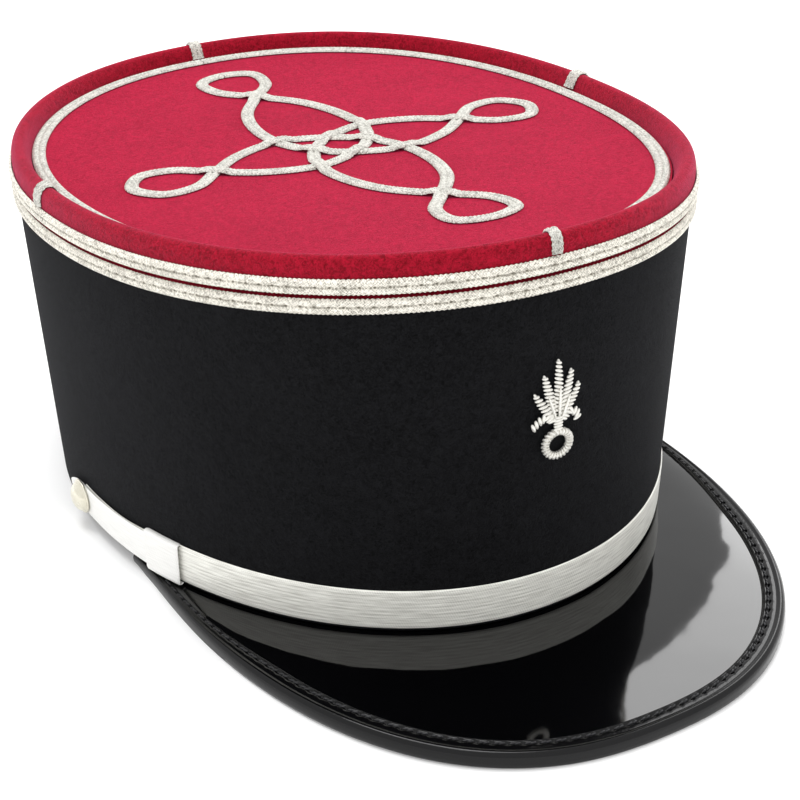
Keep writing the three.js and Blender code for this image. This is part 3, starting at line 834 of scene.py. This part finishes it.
def slide_piece(name, side):
    line, length = along_profile(SLIDE_SECTION, SLIDE_CUTS_ROUND)
    ways = np.linspace(-length / 2, length / 2, SLIDE_CUTS_ROUND + 1)
    reach = strap_walk(SLIDE_FROM, SLIDE_TO)
    piece = flat_strip(name, reach, length, SLIDE_CUTS_ALONG, SLIDE_CUTS_ROUND)
    x, y, z = corners(piece)
    from_edge = np.clip((reach / 2 - np.abs(x)) / SLIDE_EASE_REACH, 0, 1)
    put_corners(piece, [x, y, z - SLIDE_EASE * (1 - from_edge) ** 2])
    thicken(piece, SLIDE_WALL)

    def place(x, y, z):
        turn = turn_after(x, STRAP_TOP / 2, (SLIDE_FROM + SLIDE_TO) / 2)
        return wall_spot(turn, *profile_spot(line, ways, y, z))

    lay(piece, place)
    if side < 0:
        mirror_over(piece)
    return piece


for name, side in (("left", 1), ("right", -1)):
    slide = slide_piece(f"slide_{name}_wrap", side)
    smooth(slide)
    slide.data.materials.append(white_lace)
    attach(slide, "root")
    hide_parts(f"slide_{name}")

# ---- Buttons -------------------------------------------------------------------------------
# A plain domed button of silvered metal on each end of the strap, pressed from sheet with a
# thin rolled rim and sewn through the wall by its shank.

BUTTON_HEIGHT = 6.3 * MM
BUTTON_SEAT = 1.45 * MM
BUTTON_SPOKES = 72
BUTTON_RINGS = [  # radius, height above the seat
    (4.75, 0.05), (5.0, 0.25), (5.02, 0.5), (4.85, 0.75), (4.6, 0.78), (4.5, 0.72), (4.42, 0.85),
    (4.1, 1.5), (3.6, 2.1), (2.9, 2.6), (2.1, 2.93), (1.2, 3.13), (0.5, 3.19),
]

button_metal, shader = new_material("button_metal")
tarnish = node(button_metal, "TexNoise", Vector=node(button_metal, "TexCoord").outputs["Object"],
               Scale=320, Detail=4).outputs["Fac"]
feed(button_metal, shader.inputs["Base Color"], blend_colours(
    button_metal, tarnish, (0.62, 0.58, 0.46), (0.86, 0.84, 0.74)))
feed(button_metal, shader.inputs["Roughness"],
     spread(button_metal, tarnish, 0, 1, 0.18, 0.34))
shader.inputs["Metallic"].default_value = 0.85
grain = node(button_metal, "Bump", Height=tarnish, Strength=0.08, Distance=0.1 * MM)
feed(button_metal, shader.inputs["Normal"], grain.outputs[0])


def button_piece(name):
    bpy.ops.object.select_all(action="DESELECT")
    radius, height = (size * MM for size in BUTTON_RINGS[0])
    bpy.ops.mesh.primitive_circle_add(vertices=BUTTON_SPOKES, radius=radius,
                                      fill_type="NGON", location=(0, 0, height))
    piece = bpy.context.object
    bpy.ops.object.transform_apply(location=True)
    piece.name = piece.data.name = name
    edit(piece)
    bpy.ops.mesh.select_all(action="SELECT")
    for next_radius, next_height in BUTTON_RINGS[1:]:
        rise, share = next_height * MM - height, next_radius * MM / radius
        bpy.ops.mesh.extrude_region_move(TRANSFORM_OT_translate={"value": (0, 0, rise)})
        bpy.ops.transform.resize(value=(share, share, 1))
        radius, height = next_radius * MM, next_height * MM
    bpy.ops.mesh.poke()
    leave_edit()
    return piece


for name, side in (("left", 1), ("right", -1)):
    button = button_piece(f"button_{name}_dome")
    turn = np.array([math.radians(BUTTON_TURN)])
    foot = Vector(settle(wall_spot(turn, BUTTON_SEAT, BUTTON_HEIGHT))[:, 0])
    tip = Vector(settle(wall_spot(turn, BUTTON_SEAT + MM, BUTTON_HEIGHT))[:, 0])
    upright = (tip - foot).to_track_quat("Z", "Y").to_matrix().to_4x4()
    button.data.transform(Matrix.Translation(foot) @ upright)
    if side < 0:
        mirror_over(button)
    smooth(button, 60)
    button.data.materials.append(button_metal)
    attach(button, "root")
    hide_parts(f"button_{name}")

# ---- Peak ----------------------------------------------------------------------------------
# The visor: stiff board covered in black patent leather, nearly flat and slightly domed. It is
# sewn under the foot of the band and its free edge sits inside the binding.

PEAK_HALF_WIDTH = 80.6 * MM
PEAK_ROOT_Y, PEAK_TIP_Y = -38 * MM, -155 * MM
PEAK_POWER = 2.38
PEAK_SWEEP = 79
TAIL_SHARE = 0.06
TAIL_Y, TAIL_SPREAD = -21 * MM, 0.6 * MM
TAIL_HEIGHT = 2.4 * MM
PEAK_ROOT = BAND_FOOT - GAP
PEAK_WALL = 1.9 * MM
EDGE_SIDE, EDGE_TIP = -1.3 * MM, -3.6 * MM
PEAK_ARCH = 0.8 * MM
BINDING_WIDTH, BINDING_END_WIDTH = 6 * MM, 3 * MM
BINDING_HEIGHT = 4.5 * MM
BINDING_LIP = 0.6 * MM
BOARD_TUCK = 1.2 * MM  # how far the board reaches under the binding
PEAK_CUTS_ALONG, PEAK_CUTS_DEEP = 220, 60
EDGE_STEP = 0.004  # share of the edge either way, for its direction
EDGE_SHARES = 2001


def smoothstep(value, low, high):
    share = np.clip((value - low) / (high - low), 0, 1)
    return share * share * (3 - 2 * share)


def edge_plan(share):
    """Plan of the peak's outer edge, from its right root at 0 to its left root at 1."""
    from_root = np.minimum(share, 1 - share)
    back = np.clip(1 - from_root / TAIL_SHARE, 0, None)
    tail_x = (PEAK_HALF_WIDTH + TAIL_SPREAD * back ** 2) * np.sign(share - 0.5)
    tail_y = PEAK_ROOT_Y + back * (TAIL_Y - PEAK_ROOT_Y)
    angle = math.pi * (1 - np.clip((share - TAIL_SHARE) / (1 - 2 * TAIL_SHARE), 0, 1))
    cos, sin = np.cos(angle), np.abs(np.sin(angle))
    across = np.sign(cos) * np.abs(cos) ** (2 / PEAK_POWER) * PEAK_HALF_WIDTH
    along = PEAK_ROOT_Y + sin ** (2 / PEAK_POWER) * (PEAK_TIP_Y - PEAK_ROOT_Y)
    on_tail = from_root < TAIL_SHARE
    return np.array([np.where(on_tail, tail_x, across), np.where(on_tail, tail_y, along)])


def edge_spot(share, inset, rise):
    """Spot moved in from the outer edge and up or down from the edge's upper side."""
    plan = edge_plan(share)
    along = edge_plan(share + EDGE_STEP) - edge_plan(share - EDGE_STEP)
    along = along / np.hypot(along[0], along[1])
    droop = EDGE_TIP + (EDGE_SIDE - EDGE_TIP) * np.minimum(1, (plan[0] / PEAK_HALF_WIDTH) ** 2)
    return np.array([plan[0] - along[1] * inset, plan[1] + along[0] * inset, droop + rise])


def binding_width(share):
    fullness = smoothstep(np.minimum(share, 1 - share), TAIL_SHARE, 3 * TAIL_SHARE)
    return BINDING_END_WIDTH + (BINDING_WIDTH - BINDING_END_WIDTH) * fullness


def even_shares():
    """Shares of the edge and the length walked to each, so that strips aren't stretched."""
    shares = np.linspace(0, 1, EDGE_SHARES)
    return shares, walk_along(edge_plan(shares))


def leather(name, colour, roughness, shine, coat, grain_scale, relief, waves):
    """Polished leather: a fine grain, and a coat of lacquer with very slight waves in it."""
    material, shader = new_material(name)
    place = node(material, "TexCoord").outputs["Object"]
    grain = node(material, "TexVoronoi", Vector=place, Scale=grain_scale).outputs["Distance"]
    clouds = node(material, "TexNoise", Vector=place, Scale=45, Detail=3).outputs["Fac"]
    feed(material, shader.inputs["Base Color"], blend_colours(
        material, clouds, colour, tuple(1.6 * part for part in colour)))
    feed(material, shader.inputs["Roughness"],
         spread(material, clouds, 0, 1, roughness * 0.8, roughness * 1.2))
    shader.inputs["Specular IOR Level"].default_value = shine
    shader.inputs["Coat Weight"].default_value = coat
    shader.inputs["Coat Roughness"].default_value = 0.02
    swell = node(material, "TexNoise", Vector=place, Scale=42, Detail=1.5,
                 Roughness=0.4).outputs["Fac"]
    flow = node(material, "Bump", Height=swell, Strength=1.0, Distance=waves)
    bump = node(material, "Bump", Height=grain, Strength=relief, Distance=0.1 * MM,
                Normal=flow.outputs[0])
    feed(material, shader.inputs["Normal"], bump.outputs[0])
    feed(material, shader.inputs["Coat Normal"], flow.outputs[0])
    return material


patent_leather = leather("patent_leather", (0.0006, 0.0006, 0.0008), 0.05, 0.52, 0, 900,
                         0.004, 0.36 * MM)


def peak_place(x, y, z):
    """x is the share of the edge less a half; y runs from the edge to the band."""
    share, reach = x + 0.5, 0.5 - y
    turn = math.radians(PEAK_SWEEP) * 2 * x
    root = wall_spot(turn, GAP - BAND_WALL, PEAK_ROOT)
    edge = edge_spot(share, binding_width(share) - BOARD_TUCK, -BINDING_LIP - GAP)
    spot = root + (edge - root) * reach
    spot[2] += z + PEAK_ARCH * np.sin(math.pi * reach) * np.sin(math.pi * share)
    return spot


peak = flat_strip("peak_board", 1 - 2 * TAIL_SHARE, 1, PEAK_CUTS_ALONG, PEAK_CUTS_DEEP)
thicken(peak, PEAK_WALL)
lay(peak, peak_place)
smooth(peak)
peak.data.materials.append(patent_leather)
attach(peak, "root")
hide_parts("peak")

# ---- Peak binding --------------------------------------------------------------------------
# A strip of black leather folded over the edge of the peak and sewn through near its inner
# side. A raised line and a groove run inside the stitches, and a bead outside them.

BINDING_SECTION = [  # inset from the outer edge, rise above the edge's upper side
    (6.0, -4.1), (5.6, -4.45), (4.0, -4.5), (2.4, -4.5), (1.2, -4.5), (0.5, -4.3), (0.12, -3.8),
    (0.02, -2.8), (0.0, -1.8), (0.06, -1.0), (0.3, -0.55), (0.62, -0.2), (1.0, 0.04),
    (1.4, 0.12), (1.8, 0.04), (2.1, -0.14), (2.5, -0.12), (3.1, -0.02), (3.7, -0.02),
    (4.0, -0.1), (4.22, -0.18), (4.45, -0.2), (4.68, -0.18), (4.85, -0.1), (5.02, 0.02),
    (5.2, 0.0), (5.34, -0.28), (5.48, -0.34), (5.64, -0.22), (5.82, -0.3), (6.0, -0.62),
]
BINDING_SHELL = 0.55 * MM
SEAM_STITCH = 3.9 * MM
SEAM_INSET = 4.45 * MM
SLOT_DEPTH = 0.6 * MM
SLOT_REACH = {"along": 0.55 * MM, "across": 0.48 * MM}
SLOT_LEAN = 0.35
SEWN_SHARE = 0.9  # of the binding's length, between the two tails
BINDING_CUTS = 1060

edge_leather = leather("edge_leather", (0.0015, 0.0015, 0.0018), 0.2, 0.1, 0.32, 1400,
                       0.25, 0.25 * MM)
section = np.array(BINDING_SECTION) * MM
section_ways = walk_along(section.T)
binding_shares, binding_walked = even_shares()
binding_length = binding_walked[-1]
sewn_length = binding_length * SEWN_SHARE
stitch_count = round(sewn_length / SEAM_STITCH)
stitch_pitch = sewn_length / stitch_count


def binding_place(x, y, z):
    """x runs along the edge; y counts the rows of the section."""
    share = np.interp(x + binding_length / 2, binding_walked, binding_shares)
    way = np.interp(y, np.arange(len(section)), section_ways)
    inset, rise = profile_spot(section, section_ways, way, 0)
    from_slot = ((x / stitch_pitch) % 1 - 0.5) * stitch_pitch + SLOT_LEAN * (inset - SEAM_INSET)
    sunk = SLOT_DEPTH * np.exp(-(from_slot / SLOT_REACH["along"]) ** 2
                               - ((inset - SEAM_INSET) / SLOT_REACH["across"]) ** 2)
    sewn = (rise > -PEAK_WALL) & (np.abs(x) < sewn_length / 2) & (z > -BINDING_SHELL / 2)
    inset, rise = profile_spot(section, section_ways, way, sunk * sewn - z)
    narrow = binding_width(share) / BINDING_WIDTH
    thin = TAIL_HEIGHT / BINDING_HEIGHT + (1 - TAIL_HEIGHT / BINDING_HEIGHT) * smoothstep(
        np.minimum(share, 1 - share), 0, TAIL_SHARE)
    return edge_spot(share, inset * narrow, rise * thin)


rows = len(BINDING_SECTION) - 1
binding = flat_strip("peak_binding_leather", binding_length, rows, BINDING_CUTS, rows)
thicken(binding, BINDING_SHELL)
x, y, z = corners(binding)
put_corners(binding, [x, y + rows / 2, z])
lay(binding, binding_place)
smooth(binding)
binding.data.materials.append(edge_leather)
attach(binding, "root")
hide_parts("peak_binding")

# ---- Binding stitches ----------------------------------------------------------------------
# The waxed black thread that closes the binding: one short slanting stitch after another in
# the channel between the raised line and the bead.

THREAD_HALVES = (0.78 * MM, 0.3 * MM, 0.24 * MM)  # along, across, up
THREAD_APART = 0.17  # of a stitch, either way from its middle
THREAD_LEAN = 0.3
THREAD_RISE = -0.12 * MM

waxed_thread = leather("waxed_thread", (0.012, 0.012, 0.014), 0.3, 0.3, 0.1, 3000, 0.3,
                       0.05 * MM)
bpy.ops.object.select_all(action="DESELECT")
bpy.ops.mesh.primitive_uv_sphere_add(segments=8, ring_count=6, radius=1)
stitch = bpy.context.object
edit(stitch)
bpy.ops.transform.resize(value=THREAD_HALVES)
leave_edit()
stitch_corners = corners(stitch)
copies = []
for index in range(2 * stitch_count):
    twin = stitch.copy()
    twin.data = stitch.data.copy()
    bpy.context.collection.objects.link(twin)
    step = (index // 2 - stitch_count // 2) + (-THREAD_APART, THREAD_APART)[index % 2]
    walk = binding_length / 2 + step * stitch_pitch
    share = np.interp(walk, binding_walked, binding_shares)
    narrow = binding_width(share) / BINDING_WIDTH
    along = edge_plan(share + EDGE_STEP) - edge_plan(share - EDGE_STEP)
    slant = math.atan2(along[1], along[0]) + THREAD_LEAN
    x, y, z = stitch_corners
    middle = edge_spot(np.array([share]), SEAM_INSET * narrow, THREAD_RISE)[:, 0]
    put_corners(twin, settle(np.array([
        middle[0] + x * math.cos(slant) - y * math.sin(slant),
        middle[1] + x * math.sin(slant) + y * math.cos(slant), middle[2] + z])))
    copies.append(twin)
bpy.data.objects.remove(stitch)
stitches = joined(copies, "peak_binding_stitches")
smooth(stitches, 60)
stitches.data.materials.append(waxed_thread)
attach(stitches, "root")

# ---- Badge ---------------------------------------------------------------------------------
# A small flaming ring embroidered on the front in silver bullion: short coils of fine wire
# sewn down side by side over padding, with a few plain wires at the foot of the flames.

BADGE_TURN = -0.85
BADGE_LEAN = 0.038
RING_HEIGHT = 50.6 * MM
RING_RADIUS = 3.42 * MM
RING_CORD = 1.0 * MM
RING_COILS = 24
RING_PADDING = 0.62  # of the cord's radius
COIL_RADIUS, COIL_WIRE, COIL_LEAN = 0.74, 0.37 * MM, 32
BULLION = 0.5 * MM
BADGE_OFF = 0.1 * MM

bullion, shader = new_material("bullion")
place = node(bullion, "TexCoord").outputs["Object"]
wire = node(bullion, "TexNoise", Vector=place, Scale=2400, Detail=2).outputs["Fac"]
feed(bullion, shader.inputs["Base Color"], blend_colours(
    bullion, wire, (0.62, 0.60, 0.54), (0.95, 0.94, 0.90)))
shader.inputs["Metallic"].default_value = 0.45
shader.inputs["Roughness"].default_value = 0.35
bump = node(bullion, "Bump", Height=wire, Strength=0.3, Distance=0.08 * MM)
feed(bullion, shader.inputs["Normal"], bump.outputs[0])


def on_front(x, y, z):
    """Lays a flat drawing (x across, y up, z out) on the front of the band."""
    across = x - BADGE_LEAN * (y - RING_HEIGHT)
    return wall_spot(turn_after(across, RING_HEIGHT, BADGE_TURN), BADGE_OFF + z, y)


coils = []
bpy.ops.mesh.primitive_torus_add(major_radius=RING_RADIUS, major_segments=64,
                                 minor_radius=RING_CORD * RING_PADDING, minor_segments=16,
                                 location=(0, RING_HEIGHT, RING_CORD))
bpy.ops.object.transform_apply(location=True)
coils.append(bpy.context.object)
for index in range(RING_COILS):
    angle = FULL_TURN * index / RING_COILS
    middle = (RING_RADIUS * math.cos(angle), RING_HEIGHT + RING_RADIUS * math.sin(angle),
              RING_CORD)
    bpy.ops.mesh.primitive_torus_add(major_radius=RING_CORD * COIL_RADIUS, major_segments=20,
                                     minor_radius=COIL_WIRE, minor_segments=6)
    coil = bpy.context.object
    square_to_ring = Matrix.Rotation(angle, 4, "Z") @ Matrix.Rotation(math.pi / 2, 4, "X")
    lean = Matrix.Rotation(math.radians(COIL_LEAN), 4,
                           Vector((math.cos(angle), math.sin(angle), 0)))
    coil.data.transform(Matrix.Translation(middle) @ lean @ square_to_ring)
    coils.append(coil)
badge_ring = joined(coils, "badge_ring_bullion")
lay(badge_ring, on_front)
smooth(badge_ring, 60)
badge_ring.data.materials.append(bullion)
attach(badge_ring, "root")
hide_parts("badge_ring")

FLAMES = [  # foot, tip, width, slant of the coils from square
    ((0, 59.5), (0, 73.8), 2.9, -26), ((1.0, 58.6), (3.5, 70.3), 2.8, 24),
    ((-1.0, 58.6), (-3.7, 70.2), 2.9, -22), ((1.9, 58.4), (5.7, 66.0), 2.7, 24),
    ((-1.9, 58.4), (-6.1, 65.6), 2.7, -22),
]
SPRIGS = {
    "left": ((0.9, 57.2), (1.9, 58.0), (3.2, 58.9), (4.5, 58.7), (5.6, 57.4), (5.6, 55.9)),
    "right": ((-0.9, 57.2), (-1.9, 58.2), (-3.2, 58.9), (-4.6, 58.4), (-5.9, 57.4),
              (-7.0, 56.3)),
}
SPRIG_COILS, SPRIG_WIDTH, SPRIG_TAPER, SPRIG_SLANT = 7, 3.1, 0.1, 25
STEM_COILS, STEM_FOOT, STEM_PITCH, STEM_WIDTH, STEM_GROWTH = 5, 54.9, 0.8, 2.5, 0.1
WIRE_FOOT = 57.6
WIRES = [((-2.9, 64.8), 0.36), ((0.2, 67.0), 0.36), ((3.0, 64.2), 0.36)]  # tip, thickness
COIL_PITCH, COIL_THICK, COIL_OUT = 1.12, 0.47 * MM, 0.5 * MM
SPRIG_OUT, STEM_OUT, WIRE_OUT = 0.45 * MM, 0.7 * MM, 1.15 * MM
TIP_LENGTH, TIP_THICK, TIP_OUT, TIP_SHARE = 1.2 * MM, 0.38 * MM, 0.1 * MM, 0.98
bars = []


def bar(middle, length, lean, thick=BULLION, out=0.0):
    """One short coil of bullion, a rounded rod that lies across the padding."""
    bpy.ops.mesh.primitive_uv_sphere_add(segments=10, ring_count=8, radius=1)
    rod = bpy.context.object
    x, y, z = corners(rod)
    put_corners(rod, [z * length / 2, y * thick, x * thick])
    rod.data.transform(Matrix.Translation((middle[0] * MM, middle[1] * MM, thick + out))
                       @ Matrix.Rotation(math.radians(lean), 4, "Z"))
    bars.append(rod)


for foot, tip, width, slant in FLAMES:
    foot, tip = np.array(foot), np.array(tip)
    run = math.dist(foot, tip)
    square = math.degrees(math.atan2(*(tip - foot)[::-1])) - 90
    count = round(run / COIL_PITCH)
    for index in range(count):
        share = (index + 0.5) / count
        swell = math.sin(math.pi * (0.2 + 0.68 * share)) ** 0.7
        bar(foot + (tip - foot) * share, width * swell * MM, square + slant, COIL_THICK,
            COIL_OUT * swell)
    bar(foot + (tip - foot) * TIP_SHARE, TIP_LENGTH, square + 90, TIP_THICK, TIP_OUT)
for line in SPRIGS.values():
    line = np.array(line)
    for index in range(SPRIG_COILS):
        at = (index + 0.5) / SPRIG_COILS * (len(line) - 1)
        middle = [np.interp(at, range(len(line)), line[:, k]) for k in (0, 1)]
        run = line[min(int(at) + 1, len(line) - 1)] - line[int(at)]
        square = math.degrees(math.atan2(run[1], run[0])) + 90
        bar(middle, (SPRIG_WIDTH - SPRIG_TAPER * index) * MM,
            square + SPRIG_SLANT * np.sign(line[-1, 0]), out=SPRIG_OUT)
for index in range(STEM_COILS):
    bar((0, STEM_FOOT + STEM_PITCH * index), (STEM_WIDTH + STEM_GROWTH * index) * MM, 0,
        out=STEM_OUT)
for tip, thick in WIRES:
    foot = np.array((tip[0] / 4, WIRE_FOOT))
    run = np.array(tip) - foot
    bar(foot + run / 2, math.hypot(*run) * MM, math.degrees(math.atan2(run[1], run[0])),
        thick * MM, out=WIRE_OUT)
badge_flames = joined(bars, "badge_flames_bullion")
lay(badge_flames, on_front)
smooth(badge_flames, 60)
badge_flames.data.materials.append(bullion)
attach(badge_flames, "root")
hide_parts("badge_flames")

# ---- Studio --------------------------------------------------------------------------------
# A plain pale floor, soft light from above and all round, and a camera a little above the cap
# and to the right of its front.

bpy.ops.mesh.primitive_plane_add(size=8)
floor = bpy.context.object
floor.name = "floor"
paper, shader = new_material("studio_paper")
fleck = node(paper, "TexNoise", Vector=node(paper, "TexCoord").outputs["Object"],
             Scale=300).outputs["Fac"]
feed(paper, shader.inputs["Base Color"],
     blend_colours(paper, fleck, (0.93, 0.93, 0.93), (0.95, 0.95, 0.95)))
shader.inputs["Roughness"].default_value = 0.9
shader.inputs["Emission Color"].default_value = (1, 1, 1, 1)
shader.inputs["Emission Strength"].default_value = 0.08
floor.data.materials.append(paper)

world = bpy.data.worlds.new("studio")
bpy.context.scene.world = world
world.use_nodes = True
world.node_tree.nodes["Background"].inputs["Color"].default_value = (1, 1, 1, 1)
world.node_tree.nodes["Background"].inputs["Strength"].default_value = 1.12


def soft_light(name, place, aim, size, power, roll=0):
    lamp = bpy.data.lights.new(name, "AREA")
    lamp.shape, (lamp.size, lamp.size_y), lamp.energy = "RECTANGLE", size, power
    holder = bpy.data.objects.new(name, lamp)
    bpy.context.scene.collection.objects.link(holder)
    holder.location = place
    facing = (Vector(aim) - Vector(place)).to_track_quat("-Z", "Y").to_matrix()
    holder.rotation_euler = (facing @ Matrix.Rotation(math.radians(roll), 3, "Z")).to_euler()


soft_light("overhead", (-0.1, 0.3, 1.6), (0, 0, 0.05), (0.8, 0.8), 13)
soft_light("window", (1.73, 1.03, 1.47), (0.04, -0.08, 0), (0.68, 1.3), 14.5, roll=-5)

EYE = Vector((-0.21062, -0.37662, 0.26800))
LOOK = Vector((0.4251, 0.7656, -0.4829))
ROLL = math.radians(-1.276)
lens = bpy.data.cameras.new("camera")
camera = bpy.data.objects.new("camera", lens)
bpy.context.scene.collection.objects.link(camera)
camera.location = EYE
camera.rotation_euler = (LOOK.to_track_quat("-Z", "Y").to_matrix()
                         @ Matrix.Rotation(ROLL, 3, "Z")).to_euler()
lens.sensor_width, lens.lens = 36, 77.45
lens.shift_x, lens.shift_y = 0.0146, -0.0029
lens.clip_start = 0.01
bpy.context.scene.camera = camera
bpy.context.scene.view_settings.view_transform = "Standard"
